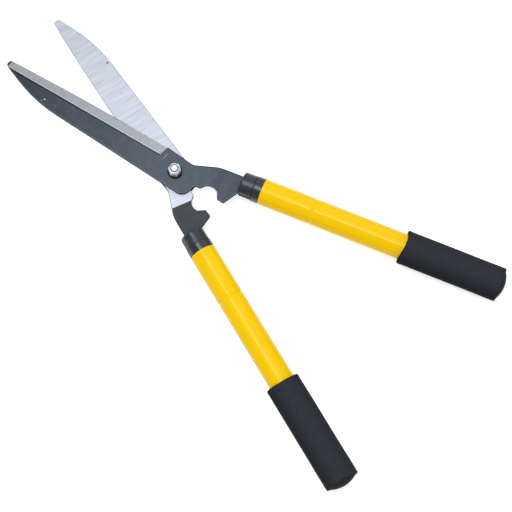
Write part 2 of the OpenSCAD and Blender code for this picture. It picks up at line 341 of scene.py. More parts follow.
@dataclass(frozen=True)
class GroundSteel(Finish):
    """Wheel-ground bare steel: pale, with fine marks across the blade and a few pits."""

    dark: str = "b3b9c1"
    light: str = "cdd3da"
    pit: str = "3f4652"
    lean: float = 0.0
    # A wheel's marks lie about 0.2 mm apart: drawn coarser, so that they show in the render.
    mark_mm: float = 1.3
    mark_len_mm: float = 26.0
    mark_span: tuple[float, float] = (0.32, 0.68)
    mark_depth: float = 0.02 * MM
    mark_strength: float = 0.25
    rough_swing: tuple[float, float] = (-0.08, 0.1)
    pit_mm: float = 0.0
    pit_every_mm: float = 9.0
    pit_share: float = 0.7
    pits: tuple[Mark, ...] = ()

    def dress(self, tree: Tree, shader: Node, place: Socket) -> None:
        """Links the grinding marks and pits to the shader."""
        along = add_node(
            tree, "Mapping", {"Vector": place, "Rotation": (0.0, 0.0, self.lean)},
            vector_type="POINT",
        )
        drawn = add_node(
            tree, "VectorMath",
            {0: along.outputs[0], 1: (self.mark_mm / self.mark_len_mm, 1.0, 1.0)},
            operation="MULTIPLY",
        )
        marks = add_node(
            tree, "TexNoise",
            {"Vector": drawn.outputs[0], "Scale": per_metre(self.mark_mm), "Detail": 4.0,
             "Roughness": 0.7},
        )
        low, high = self.mark_span
        span = add_node(tree, "MapRange", {0: marks.outputs[0], 1: low, 2: high})
        steel = add_node(
            tree, "Mix",
            {0: span.outputs[0], 6: linear(self.dark), 7: linear(self.light)}, data_type="RGBA",
        )
        colour = self.pitted(tree, place, steel.outputs[2]) if self.pit_mm else steel.outputs[2]
        for pit in self.pits:
            colour = pit.draw(tree, place, colour, self.pit)
        tree.links.new(colour, shader.inputs["Base Color"])
        low, high = (self.roughness + swing for swing in self.rough_swing)
        rough = add_node(tree, "MapRange", {0: marks.outputs[0], 3: low, 4: high})
        tree.links.new(rough.outputs[0], shader.inputs["Roughness"])
        bump = add_node(
            tree, "Bump",
            {"Strength": self.mark_strength, "Distance": self.mark_depth,
             "Height": marks.outputs[0]},
        )
        tree.links.new(bump.outputs[0], shader.inputs["Normal"])

    def pitted(self, tree: Tree, place: Socket, steel: Socket) -> Socket:
        """Adds the small dark pits that grinding left in the steel.

        Args:
            tree: The material's node tree.
            place: Object coordinates.
            steel: The colour of the steel so far.

        Returns:
            The colour with its pits.
        """
        cell = add_node(
            tree, "TexVoronoi", {"Vector": place, "Scale": per_metre(self.pit_every_mm)}
        )
        share = self.pit_mm / self.pit_every_mm
        hole = add_node(
            tree, "MapRange",
            {0: cell.outputs[0], 1: share / 2, 2: share, 3: self.pit_share, 4: 0.0},
        )
        return add_node(
            tree, "Mix", {0: hole.outputs[0], 6: steel, 7: linear(self.pit)}, data_type="RGBA"
        ).outputs[2]


@dataclass(frozen=True)
class Mottled(Finish):
    """A plain finish whose tone, roughness and skin all vary with one grain."""

    dark: str = "808080"
    light: str = "909090"
    cloud_mm: float = 18.0
    # The grain of mouldings, plate and powder is finer: drawn coarser, so that it shows.
    grain_mm: float = 1.0
    grain_depth_mm: float = 0.02
    grain_strength: float = 0.3
    rough_swing: float = 0.05

    def dress(self, tree: Tree, shader: Node, place: Socket) -> None:
        """Links the clouds and the grain to the shader."""
        cloud = add_node(
            tree, "TexNoise", {"Vector": place, "Scale": per_metre(self.cloud_mm), "Detail": 4.0}
        )
        tone = add_node(
            tree, "Mix",
            {0: cloud.outputs[0], 6: linear(self.dark), 7: linear(self.light)}, data_type="RGBA",
        )
        tree.links.new(tone.outputs[2], shader.inputs["Base Color"])
        grain = add_node(
            tree, "TexNoise", {"Vector": place, "Scale": per_metre(self.grain_mm), "Detail": 2.0}
        )
        rough = add_node(
            tree, "MapRange",
            {0: grain.outputs[0], 3: self.roughness - self.rough_swing,
             4: self.roughness + self.rough_swing},
        )
        tree.links.new(rough.outputs[0], shader.inputs["Roughness"])
        bump = add_node(
            tree, "Bump",
            {"Strength": self.grain_strength, "Distance": self.grain_depth_mm * MM,
             "Height": grain.outputs[0]},
        )
        tree.links.new(bump.outputs[0], shader.inputs["Normal"])


@dataclass(frozen=True)
class SeamedMoulding(Mottled):
    """A moulding with dirt in its parting line, past which the mould was polished."""

    root: Vector = field(default_factory=Vector)
    axis: Vector = field(default_factory=Vector)
    seam_at: float = 56.3 * MM
    seam_half: tuple[float, float] = (0.2 * MM, 0.55 * MM)
    dirt: str = "0a0b0d"
    dirt_share: float = 0.65
    polish: float = 0.1
    polish_run: float = 0.4 * MM

    def dress(self, tree: Tree, shader: Node, place: Socket) -> None:
        """Adds the parting line and the polish to the mottled finish."""
        super().dress(tree, shader, place)
        spoke = add_node(tree, "VectorMath", {0: place, 1: self.root}, operation="SUBTRACT")
        station = add_node(
            tree, "VectorMath", {0: spoke.outputs[0], 1: self.axis}, operation="DOT_PRODUCT"
        )
        off = add_node(
            tree, "Math", {0: station.outputs[1], 1: self.seam_at}, operation="SUBTRACT"
        )
        size = add_node(tree, "Math", {0: off.outputs[0]}, operation="ABSOLUTE")
        full, clean = self.seam_half
        line = add_node(
            tree, "MapRange", {0: size.outputs[0], 1: full, 2: clean, 3: self.dirt_share, 4: 0.0}
        )
        tone = shader.inputs["Base Color"].links[0].from_socket
        dirty = add_node(
            tree, "Mix", {0: line.outputs[0], 6: tone, 7: linear(self.dirt)}, data_type="RGBA"
        )
        tree.links.new(dirty.outputs[2], shader.inputs["Base Color"])
        rough = shader.inputs["Roughness"].links[0].from_socket
        sleek = add_node(
            tree, "MapRange",
            {0: off.outputs[0], 1: 0.0, 2: self.polish_run, 3: 0.0, 4: -self.polish},
        )
        dull = add_node(tree, "Math", {0: sleek.outputs[0], 1: line.outputs[0]}, operation="ADD")
        both = add_node(tree, "Math", {0: rough, 1: dull.outputs[0]}, operation="ADD")
        tree.links.new(both.outputs[0], shader.inputs["Roughness"])


@dataclass(frozen=True)
class ClosedCellFoam(Finish):
    """Skinned closed-cell foam: a blue-black nap, lighter on upward faces as painted light, and
    dusty in its pores.

    At the sleeve's front, faces that look towards the ferrule are painted black: painted shadow on
    the rim.
    """

    dark: str = "171a1f"
    light: str = "21252b"
    # The lighter colours that upward faces take: painted light.
    painted_lit_dark: str = "2a2d31"
    painted_lit_light: str = "3a3e44"
    dust: str = "6d747c"
    # The black of the painted shadow at the sleeve's front rim.
    cut: str = "040506"
    axis: Vector = field(default_factory=Vector)
    painted_shadow_span: tuple[float, float] = (-0.2, -0.5)
    painted_lit_span: tuple[float, float] = (0.3, 1.0)
    # Such foam has pores of about 0.4 mm: drawn coarser, so that they show in the render.
    pore_mm: float = 1.1
    pore_span: tuple[float, float] = (0.3, 0.7)
    pore_depth: float = 0.15 * MM
    pore_strength: float = 0.6
    dust_mm: float = 0.45
    dust_every_mm: float = 9.0
    dust_share: float = 0.6

    def dress(self, tree: Tree, shader: Node, place: Socket) -> None:
        """Links pores, painted light on top, painted shadow at the front and dust to the shader."""
        pores = add_node(
            tree, "TexNoise",
            {"Vector": place, "Scale": per_metre(self.pore_mm), "Detail": 4.0, "Roughness": 0.7},
        )
        low, high = self.pore_span
        span = add_node(tree, "MapRange", {0: pores.outputs[0], 1: low, 2: high})
        side_tone = add_node(
            tree, "Mix",
            {0: span.outputs[0], 6: linear(self.dark), 7: linear(self.light)}, data_type="RGBA",
        )
        painted_lit = add_node(
            tree, "Mix",
            {0: span.outputs[0], 6: linear(self.painted_lit_dark), 7: linear(self.painted_lit_light)},
            data_type="RGBA",
        )
        # Painted light: upward faces take the lighter colours, as the light falls from above.
        facing = add_node(tree, "NewGeometry").outputs["Normal"]
        upward = add_node(tree, "SeparateXYZ", {0: facing}).outputs[2]
        low, high = self.painted_lit_span
        painted_lit_share = add_node(tree, "MapRange", {0: upward, 1: low, 2: high})
        skin = add_node(
            tree, "Mix", {0: painted_lit_share.outputs[0], 6: side_tone.outputs[2], 7: painted_lit.outputs[2]},
            data_type="RGBA",
        )
        # Painted shadow: faces that look towards the ferrule turn black.
        endways = add_node(
            tree, "VectorMath", {0: facing, 1: self.axis}, operation="DOT_PRODUCT"
        )
        unshadowed, shadowed = self.painted_shadow_span
        painted_shadow_share = add_node(
            tree, "MapRange", {0: endways.outputs[1], 1: unshadowed, 2: shadowed}
        )
        nap = add_node(
            tree, "Mix", {0: painted_shadow_share.outputs[0], 6: skin.outputs[2], 7: linear(self.cut)},
            data_type="RGBA",
        )
        cell = add_node(
            tree, "TexVoronoi", {"Vector": place, "Scale": per_metre(self.dust_every_mm)}
        )
        share = self.dust_mm / self.dust_every_mm
        speck = add_node(
            tree, "MapRange",
            {0: cell.outputs[0], 1: share / 2, 2: share, 3: self.dust_share, 4: 0.0},
        )
        colour = add_node(
            tree, "Mix", {0: speck.outputs[0], 6: nap.outputs[2], 7: linear(self.dust)},
            data_type="RGBA",
        )
        tree.links.new(colour.outputs[2], shader.inputs["Base Color"])
        bump = add_node(
            tree, "Bump",
            {"Strength": self.pore_strength, "Distance": self.pore_depth,
             "Height": pores.outputs[0]},
        )
        tree.links.new(bump.outputs[0], shader.inputs["Normal"])


# Zinc plated on turned and forged steel: pale and half dull, so its highlights are broad.
ZINC_PLATE = Mottled(
    "steel_bright_zinc_plated", roughness=0.38, metallic=0.65, dark="ebedef", light="f6f7f8",
    cloud_mm=4.0, grain_mm=0.8, grain_depth_mm=0.004, grain_strength=0.15, rough_swing=0.04,
)
# Steel blackened in hot salts: nearly black, with a soft metallic gleam.
BLACKENED = Mottled(
    "steel_hot_blackened", roughness=0.6, specular=0.15, dark="0c0d0f", light="15171a",
    cloud_mm=5.0, grain_mm=0.7,
)
# Moulded nylon, dark grey as painted shade for the recess round the bolt's end: waxy and smooth.
NYLON = Mottled(
    "nylon_moulded_dark", roughness=0.5, dark="3a3f46", light="454b53", cloud_mm=3.0, grain_mm=0.8,
)
# Polypropylene from a blasted mould: as dull and dark as the foam beside it.
POLYPROPYLENE_MATT = Mottled(
    "polypropylene_moulded_matt_black", roughness=0.8, specular=0.12, dark="1d2127",
    light="252a31", cloud_mm=12.0, grain_mm=0.7, grain_depth_mm=0.04, grain_strength=0.4,
)
# Gloss powder coat on steel tube: strong yellow with the faint waves of baked powder.
POWDER_COAT = Mottled(
    "steel_tube_gloss_yellow_powder_coat", roughness=0.14, specular=0.15, dark="fbc900",
    light="ffd000", cloud_mm=45.0, grain_mm=3.0, grain_depth_mm=0.02, grain_strength=0.2,
)


def piece_from(name: str, shape: Shape, finishes: Sequence[Material]) -> Piece:
    """Turns a bmesh into a piece whose object sits at the origin.

    Args:
        name: The piece's name.
        shape: Its finished shape, in the frame of the part; it is freed.
        finishes: Materials, in the order of the faces' material numbers.

    Returns:
        The new object.
    """
    mesh = bpy.data.meshes.new(name)
    shape.to_mesh(mesh)
    shape.free()
    for finish in finishes:
        mesh.materials.append(finish)
    made = bpy.data.objects.new(name, mesh)
    bpy.context.scene.collection.objects.link(made)
    return made


def merged_copy(node: str) -> Shape:
    """Copies a CAD node's mesh, closes it and joins its coplanar triangles.

    Args:
        node: The CAD node.

    Returns:
        A closed bmesh with large flat faces.
    """
    shape = bmesh.new()
    shape.from_mesh(frame["nodes"][node].data)
    bmesh.ops.remove_doubles(shape, verts=shape.verts, dist=WELD)
    bmesh.ops.dissolve_limit(
        shape, angle_limit=COPLANAR, verts=shape.verts, edges=shape.edges
    )
    bmesh.ops.dissolve_degenerate(shape, dist=SLIVER, edges=shape.edges)
    return shape


def soften(shape: Shape, width: float, chosen: Callable[[Edge], bool]) -> list[Face]:
    """Rounds the chosen edges a little, as tumbling or wear does.

    Args:
        shape: The bmesh to change.
        width: How far each edge is taken back, in metres.
        chosen: Says which edges are rounded.

    Returns:
        The new faces along the edges.
    """
    edges = [e for e in shape.edges if e.is_manifold and chosen(e)]
    made = bmesh.ops.bevel(
        shape, geom=edges, offset=width, offset_type="OFFSET", affect="EDGES", segments=2,
        profile=0.5, material=-1, clamp_overlap=True,
    )
    return made["faces"]


def dress_node(node: str, finish: Material) -> None:
    """Gives a CAD node a better material and reports it."""
    mesh = frame["nodes"][node].data
    mesh.materials.clear()
    mesh.materials.append(finish)
    log.info("dressed %s with %s", node, finish.name)


# Chips in the front blade's coat and pits in the rear blade's ground face.
COAT_CHIPS = (
    Mark(-34.7, 143.9, 0.9), Mark(-37.7, 145.5, 0.75, 0.4), Mark(-21.7, 117.5, 0.7, 0.25),
    Mark(-31.8, 131.1, 0.7, 0.2),
)
FACE_PITS = (
    Mark(35.6, 129.3, 1.2, 0.9), Mark(21.5, 158.6, 0.8, 0.6), Mark(23.9, 63.7, 0.8, 0.5),
    Mark(19.1, 21.2, 0.7, 0.5),
)


class BladeFace(Enum):
    """The surfaces of a blade, by their material number."""

    COATED = 0
    BEVEL = 1
    INNER = 2
    EDGE = 3
    PAINTED_SHADE = 4
    BURR = 5
    PAINTED_HIGHLIGHT = 6


@dataclass
class Blade:
    """One blade plate: coated back, ground bevel, ground inner face and rubbed edges."""

    half: Half
    node: str
    edge_width: float = 0.4 * MM  # of the rounded rims
    corner: float = math.radians(40)  # flatter edges stay as they are
    least_wall: float = 0.8 * MM  # lower walls stay as they are
    bore_reach: float = 6.0 * MM
    face_gap: float = 0.05 * MM
    inner_depth: float = 0.2 * MM  # inner faces lie this close to the middle plane
    flat: float = 0.9995  # upright part of a flat face's normal
    steep: float = 0.5  # upright part of a wall's normal, at most
    bevel_tilt: tuple[float, float] = (0.93, 0.985)  # upright part of a bevel's normal
    bevel_from: float = 10.0 * MM
    ground_end: tuple[float, float] = (17.7 * MM, -27.25 * MM)
    ground_slant: float = math.radians(21.1)
    painted_line_width: float = 0.6 * MM  # strip of painted shade on the cutting side and of painted highlight on the spine side
    painted_shade_band: tuple[float, float] = (0.5 * MM, 1.1 * MM)  # near-black strip of painted shade over the bevel's ridge, at heel and tip
    burr: float = 0.9 * MM  # bright strip below the bead
    dull: float = 0.6 * MM  # strip of painted shade along the cutting edge
    margin: float = 0.45 * MM  # strip round the inner face
    tip_left: float = 198.2 * MM  # from here on the bevel was left coated
    lined_to: float = 188.0 * MM  # the strips end here

    @property
    def side(self) -> float:
        """Which way the blade leans: plus for the front half, minus for the rear one."""
        return 1.0 if self.half is Half.FRONT else -1.0

    def along(self, point: Vector) -> float:
        """Gives a point's distance from the pivot along the blade."""
        return (point - PIVOT).dot(self.tipwards)

    @property
    def edgewards(self) -> Vector:
        """The way across the blade, from its spine to its cutting edge."""
        return Vector((self.side * math.cos(EDGE_LEAN), math.sin(EDGE_LEAN), 0.0))

    @property
    def tipwards(self) -> Vector:
        """The way along the blade, from the pivot to its tip."""
        return Vector((-self.side * math.sin(EDGE_LEAN), math.cos(EDGE_LEAN), 0.0))

    def is_rim(self, edge: Edge) -> bool:
        """Says whether an edge is a plain corner of the stamping, not a cutting edge or bore."""
        if edge.calc_face_angle() < self.corner:
            return False
        middle = (edge.verts[0].co + edge.verts[1].co) / 2
        if (middle - PIVOT).xy.length < self.bore_reach:
            return False
        wall = min(edge.link_faces, key=lambda f: abs(f.normal.z))
        heights = [v.co.z for v in wall.verts]
        return max(heights) - min(heights) > self.least_wall

    def is_inner(self, face: Face) -> bool:
        """Says whether a face lies on the flat side that shears against the other blade."""
        height = abs(face.calc_center_median().z - PIVOT.z)
        return -self.side * face.normal.z > self.flat and height < self.inner_depth

    def is_bevel(self, face: Face) -> bool:
        """Says whether a face lies on the ground bevel."""
        least, most = self.bevel_tilt
        tilted = least < abs(face.normal.z) < most
        return tilted and self.along(face.calc_center_median()) > self.bevel_from

    def past_grinding(self) -> tuple[Vector, Vector]:
        """Gives the line on the inner side where the grinding stops and the coat begins.

        Returns:
            A point of the line, and the way across it towards the pivot.
        """
        point = PIVOT + Vector((self.side * self.ground_end[0], self.ground_end[1], 0.0))
        slant = self.ground_slant
        return point, Vector((-self.side * math.sin(slant), math.cos(slant), 0.0))

    @staticmethod
    def cut(shape: Shape, faces: Sequence[Face], point: Vector, across: Vector) -> None:
        """Cuts flat faces along a plane, so that each side can take its own finish.

        Args:
            shape: The blade's bmesh.
            faces: The faces to cut.
            point: A point of the plane.
            across: The plane's normal.
        """
        edges = list({e for f in faces for e in f.edges})
        verts = list({v for f in faces for v in f.verts})
        bmesh.ops.bisect_plane(
            shape, geom=list(faces) + edges + verts, dist=SNAP, plane_co=point,
            plane_no=across,
        )
        shape.normal_update()

    def border(self, shape: Shape, faces: Sequence[Face], width: float) -> dict[Face, Vector]:
        """Divides a narrow strip from those borders of flat faces that are corners of the plate.

        Args:
            shape: The blade's bmesh.
            faces: The faces.
            width: The width of the strip, in metres.

        Returns:
            The faces of the strip, with the way out of the plate at each.
        """
        made = bmesh.ops.inset_region(
            shape, faces=faces, thickness=width, use_boundary=True, use_even_offset=False
        )
        shape.normal_update()
        inside = set(made["faces"]) | set(faces)
        strip = {}
        for face in made["faces"]:
            face.smooth = True
            for edge in face.edges:
                others = [f for f in edge.link_faces if f not in inside]
                if others and others[0].normal.dot(face.normal) < self.flat:
                    middle = (edge.verts[0].co + edge.verts[1].co) / 2
                    strip[face] = middle - face.calc_center_median()
        return strip

    def sort_faces(self, shape: Shape, rims: Sequence[Face]) -> None:
        """Numbers each face by its surface; the coated ones keep number nought.

        Args:
            shape: The blade's bmesh, with its rims rounded.
            rims: The faces along its rounded rims.
        """
        rim_faces = set(rims)
        point, pivotwards = self.past_grinding()
        for face in shape.faces:
            face.smooth = True
            middle = face.calc_center_median()
            ground = (middle - point).dot(pivotwards) > 0
            if face in rim_faces:
                height = abs(middle.z - PIVOT.z)
                rolled = ground and height < self.edge_width + self.inner_depth
                # Walls and unrolled rims take the near-black finish: painted shade.
                face.material_index = (BladeFace.EDGE if rolled else BladeFace.PAINTED_SHADE).value
            elif abs(face.normal.z) < self.steep:
                face.material_index = BladeFace.PAINTED_SHADE.value
            elif self.is_bevel(face):
                coated = self.along(middle) > self.tip_left
                face.material_index = (BladeFace.COATED if coated else BladeFace.BEVEL).value
            elif self.is_inner(face) and ground:
                face.material_index = BladeFace.INNER.value

    @staticmethod
    def of_kind(shape: Shape, kind: BladeFace) -> list[Face]:
        """Gives the faces that are numbered as one kind of surface."""
        return [f for f in shape.faces if f.material_index == kind.value]

    def line_coat(self, shape: Shape) -> None:
        """Lines the coat: painted shade along the cutting side, a painted highlight along the
        spine.

        Args:
            shape: The blade's bmesh, with its faces numbered.
        """
        coated = [
            f for f in self.of_kind(shape, BladeFace.COATED)
            if self.side * f.normal.z > self.steep
            and self.along(f.calc_center_median()) < self.lined_to
        ]
        for face, out in self.border(shape, coated, self.painted_line_width).items():
            # Painted shade on the cutting side, painted highlight on the spine side.
            shaded_side = out.dot(self.edgewards) > 0
            face.material_index = (BladeFace.PAINTED_SHADE if shaded_side else BladeFace.PAINTED_HIGHLIGHT).value

    def line_bevel(self, shape: Shape) -> None:
        """Lines the bevel: a near-black strip of painted shade and a bright burr at its ridge, a
        darker strip of painted shade along the cutting edge.

        Args:
            shape: The blade's bmesh, with its faces numbered.
        """
        bevel = self.of_kind(shape, BladeFace.BEVEL)
        corners = [v.co.copy() for f in bevel for v in f.verts]
        top = max(self.side * c.z for c in corners)
        ridge = [c for c in corners if self.side * c.z > top - self.face_gap]
        heel = min(ridge, key=self.along) + self.edgewards * self.painted_shade_band[0]
        end = max(ridge, key=self.along) + self.edgewards * self.painted_shade_band[1]
        tilt = (end - heel).dot(self.edgewards) / (end - heel).dot(self.tipwards)
        across = (self.edgewards - self.tipwards * tilt).normalized()
        # Past the foot, the bevel takes the darker rubbed-edge finish as painted shade along the
        # cutting edge.
        foot = max(corners, key=lambda c: c.dot(self.edgewards)) - self.edgewards * self.dull
        lines = (
            (heel, across), (heel + across * self.burr, across), (foot, self.edgewards),
        )
        for point, way in lines:
            self.cut(shape, self.of_kind(shape, BladeFace.BEVEL), point, way)
        kinds = (BladeFace.PAINTED_SHADE, BladeFace.BURR, BladeFace.BEVEL, BladeFace.EDGE)
        for face in self.of_kind(shape, BladeFace.BEVEL):
            past = [(face.calc_center_median() - point).dot(way) > 0 for point, way in lines]
            face.material_index = kinds[sum(past)].value

    def line_inner(self, shape: Shape) -> None:
        """Lines the ground inner face with the dull margin that the wheel rolled over.

        Args:
            shape: The blade's bmesh, with its faces numbered.
        """
        inner = [
            f for f in self.of_kind(shape, BladeFace.INNER)
            if self.along(f.calc_center_median()) < self.lined_to
        ]
        for face in self.border(shape, inner, self.margin):
            face.material_index = BladeFace.EDGE.value

    def crease(self, shape: Shape) -> None:
        """Creases the borders of the flat faces and of the finishes.

        Args:
            shape: The blade's bmesh, with its faces numbered.
        """
        for edge in shape.edges:
            flats = [abs(f.normal.z) > self.flat for f in edge.link_faces]
            kinds = {f.material_index for f in edge.link_faces}
            edge.smooth = not (any(flats) and not all(flats)) and len(kinds) == 1

    def build(self) -> Piece:
        """Builds the dressed blade over its CAD node.

        Returns:
            The blade's object.
        """
        shape = merged_copy(self.node)
        rims = soften(shape, self.edge_width, self.is_rim)
        shape.normal_update()
        flats = [f for f in shape.faces if abs(f.normal.z) > self.flat]
        self.cut(shape, flats, PIVOT + self.tipwards * self.lined_to, self.tipwards)
        self.cut(shape, [f for f in shape.faces if self.is_inner(f)], *self.past_grinding())
        self.cut(
            shape, [f for f in shape.faces if self.is_bevel(f)],
            PIVOT + self.tipwards * self.tip_left, self.tipwards,
        )
        self.sort_faces(shape, [f for f in rims if f.is_valid])
        self.line_coat(shape)
        self.line_bevel(shape)
        self.line_inner(shape)
        self.crease(shape)
        made = piece_from(self.node + "_plate", shape, self.finishes())
        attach(made, self.half.value)
        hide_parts(self.node)
        log.info("built %s with %d faces", made.name, len(made.data.polygons))
        return made

    def finishes(self) -> list[Material]:
        """Makes the blade's materials in the order of BladeFace."""
        lean = -self.side * EDGE_LEAN
        name = self.half.value
        coat_name = f"carbon_steel_baked_dark_coat_{name}"
        # Dark coat baked on rolled plate: cloudy slate, chipped and rubbed where it is on top.
        if self.half is Half.FRONT:
            coat = BakedCoat(
                coat_name, 0.36, specular=0.5, arc_at=PIVOT + Vector((5.6, 10.2, 0.0)) * MM,
                arc_end=PIVOT + Vector((5.2, 18.1, 3.1)) * MM, chips=COAT_CHIPS,
            )
        else:
            coat = BakedCoat(coat_name, 0.7, specular=0.2, dark="42464a", light="4a4e53")
        # Steel ground on a wheel: a soft grey gleam with fine marks across the bevel.
        bevel = GroundSteel(
            f"carbon_steel_ground_bevel_{name}", 0.46, metallic=1.0, dark="b4b7bd",
            light="d2d4da", lean=lean, mark_mm=1.0, mark_len_mm=24.0,
        )
        # Steel surface-ground: nearly white in the light, with long marks and a few pits.
        inner = GroundSteel(
            f"carbon_steel_ground_face_{name}", 0.52, metallic=1.0, dark="bbbdc2",
            light="dddfe4", lean=lean, mark_mm=1.2, mark_len_mm=40.0, pit_mm=0.4,
            pits=() if self.half is Half.FRONT else FACE_PITS,
        )
        # Steel rubbed by use: a darker, duller line round the ground faces; along the bevel's
        # cutting edge the same darker line is painted shade.
        edge = GroundSteel(
            f"carbon_steel_rubbed_edge_{name}", 0.5, metallic=1.0, dark="656c73",
            light="848b93", lean=lean,
        )
        # Near-black, with no gleam: painted shade on the walls of the stamping and along the
        # bevel's ridge.
        wall = Mottled(
            f"carbon_steel_painted_shade_wall_coat_{name}", 0.9, specular=0.0, dark="14181c",
            light="1d2226", cloud_mm=9.0, grain_mm=0.8,
        )
        # Burr that the wheel turned up at the ridge: a bright line.
        burr = GroundSteel(
            f"carbon_steel_ground_burr_{name}", 0.4, metallic=1.0, dark="dfe1e6",
            light="eef0f4", lean=lean,
        )
        # A pale grey line along the spine: painted highlight where the rounded rim catches the
        # light.
        spine_highlight = BakedCoat(
            f"carbon_steel_painted_highlight_coat_{name}", 0.5, specular=0.4, dark="5c666e",
            light="78828b", painted_tip_shade="525a62",
        )
        return [f.material() for f in (coat, bevel, inner, edge, wall, burr, spine_highlight)]


@dataclass
class PivotHardware:
    """The bolt, washers, lock nut and its nylon ring."""

    nut_edge: float = 0.16 * MM
    nut_corner: float = math.radians(25)  # flatter edges stay as they are
    nut_sharp: float = math.radians(24)  # flatter edges are shaded smooth

    def build(self) -> None:
        """Softens the nut's corners and dresses the rest."""
        zinc = ZINC_PLATE.material()
        shape = merged_copy("pivot_nut")
        soften(shape, self.nut_edge, lambda e: e.calc_face_angle() > self.nut_corner)
        for face in shape.faces:
            face.smooth = True
        nut = piece_from("pivot_nut_plated", shape, [zinc])
        nut.data.set_sharp_from_angle(angle=self.nut_sharp)
        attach(nut, Half.REAR.value)
        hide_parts("pivot_nut")
        log.info("built %s with %d faces", nut.name, len(nut.data.polygons))
        dress_node("pivot_bolt", zinc)
        dress_node("head_washer", zinc)
        dress_node("nut_washer", BLACKENED.material())
        dress_node("nut_insert", NYLON.material())


@dataclass
class Handle:
    """One handle: ferrule, tube, foam grip and end cap along one axis."""

    half: Half
    side: str
    root: Vector
    lean: float
    grip_len: float
    saddle: float  # how far the front rim comes forward at the sides
    recede: float  # how far the front rim goes back all round
    saddle_run: float = 14.0 * MM
    grip_start: float = 210.3 * MM
    grip_r: float = 16.4 * MM
    bore_r: float = 12.75 * MM
    rim: float = 1.1 * MM  # rounding of the outer rims
    mouth: float = 0.8 * MM  # rounding of the bore's front edge
    rim_steps: int = 4
    lip: float = 0.3 * MM  # flare of the front rim
    lip_run: float = 5.0 * MM
    lip_fall: float = 4.0
    around: int = 176
    cuts: int = 150
    least_run: float = 10.0 * MM  # longer edges run along the sleeve
    skin_from: float = 0.5 * MM  # nearer the bore, the foam stays plain
    # The pores are drawn coarser than real ones, so that the mesh can hold them.
    pore_mm: float = 1.6
    pore_depth: float = 0.16 * MM
    pore_from: float = 0.1
    pore_gain: float = 2.0
    sway_mm: float = 24.0
    sway: float = 0.12 * MM

    @property
    def axis(self) -> Vector:
        """The way along the handle, from the blade to the butt end."""
        return Vector((math.sin(self.lean), -math.cos(self.lean), 0.0))

    def place(self) -> Matrix:
        """Gives the frame of the handle, with Z along its axis.

        Returns:
            The matrix from the handle's frame to the part's.
        """
        up = Vector((0.0, 0.0, 1.0))
        across = up.cross(self.axis)
        turn = Matrix((across, up, self.axis)).transposed().to_4x4()
        return Matrix.Translation(PIVOT + self.root) @ turn

    def skin(self, point: Vector) -> float:
        """Gives how far the foam's skin stands out at a point.

        Args:
            point: A point on the sleeve, in the handle's frame.

        Returns:
            The height over the plain cylinder, in metres.
        """
        wave = noise.noise(point * per_metre(self.sway_mm)) * self.sway
        pore = noise.noise(point * per_metre(self.pore_mm))
        pit = -self.pore_depth * max(0.0, pore - self.pore_from) * self.pore_gain
        edge = (point.z - self.grip_start) / self.lip_run
        flare = self.lip * math.exp(-edge * edge * self.lip_fall)
        return wave + pit + flare

    def pull(self, point: Vector) -> float:
        """Gives how far the sleeve's front rim is pulled forward, more so at its sides.

        Args:
            point: A point on the sleeve, in the handle's frame.

        Returns:
            The way towards the ferrule, in metres, which fades along the sleeve.
        """
        sideways = point.x / point.xy.length
        fade = max(0.0, 1.0 - (point.z - self.grip_start) / self.saddle_run)
        return (self.saddle * sideways * sideways - self.recede) * fade * fade

    def is_outer(self, edge: Edge) -> bool:
        """Says whether an edge lies on the outside of the plain sleeve."""
        return all(v.co.xy.length > self.grip_r - TOUCH for v in edge.verts)

    def is_lengthwise(self, edge: Edge) -> bool:
        """Says whether an edge runs along the plain sleeve."""
        return abs(edge.verts[0].co.z - edge.verts[1].co.z) > self.least_run

    def is_mouth(self, edge: Edge) -> bool:
        """Says whether an edge is the front edge of the plain sleeve's bore."""
        return all(
            v.co.xy.length < self.bore_r + TOUCH and v.co.z < self.grip_start + TOUCH
            for v in edge.verts
        )

    def plain_sleeve(self) -> Shape:
        """Spins a plain sleeve, rounds its rims and divides its outside finely.

        Returns:
            The sleeve's bmesh, in the handle's frame.
        """
        end = self.grip_start + self.grip_len
        profile = (
            (self.bore_r, self.grip_start), (self.grip_r, self.grip_start),
            (self.grip_r, end), (self.bore_r, end),
        )
        shape = bmesh.new()
        corners = [shape.verts.new((radius, 0.0, station)) for radius, station in profile]
        outline = [shape.edges.new((corners[k - 1], corners[k])) for k in range(len(corners))]
        bmesh.ops.spin(
            shape, geom=corners + outline, cent=(0.0, 0.0, 0.0), axis=(0.0, 0.0, 1.0),
            angle=math.tau, steps=self.around, use_merge=True,
        )
        bmesh.ops.recalc_face_normals(shape, faces=shape.faces)
        rims = [e for e in shape.edges if self.is_outer(e) and not self.is_lengthwise(e)]
        mouths = [e for e in shape.edges if self.is_mouth(e)]
        for edges, width in ((rims, self.rim), (mouths, self.mouth)):
            bmesh.ops.bevel(
                shape, geom=edges, offset=width, offset_type="OFFSET", affect="EDGES",
                segments=self.rim_steps, profile=0.5, material=-1,
            )
        runs = [e for e in shape.edges if self.is_outer(e) and self.is_lengthwise(e)]
        bmesh.ops.subdivide_edges(shape, edges=runs, cuts=self.cuts, use_grid_fill=True)
        shape.normal_update()
        return shape

    def build_grip(self) -> Piece:
        """Builds the foam sleeve that stands for the plain CAD one.

        Returns:
            The sleeve's object.
        """
        shape = self.plain_sleeve()
        for vert in shape.verts:
            shift = self.pull(vert.co)
            if vert.co.xy.length > self.bore_r + self.skin_from:
                vert.co += vert.normal * self.skin(vert.co)
            vert.co.z -= shift
        bmesh.ops.transform(shape, matrix=self.place(), verts=shape.verts)
        bmesh.ops.recalc_face_normals(shape, faces=shape.faces)
        for face in shape.faces:
            face.smooth = True
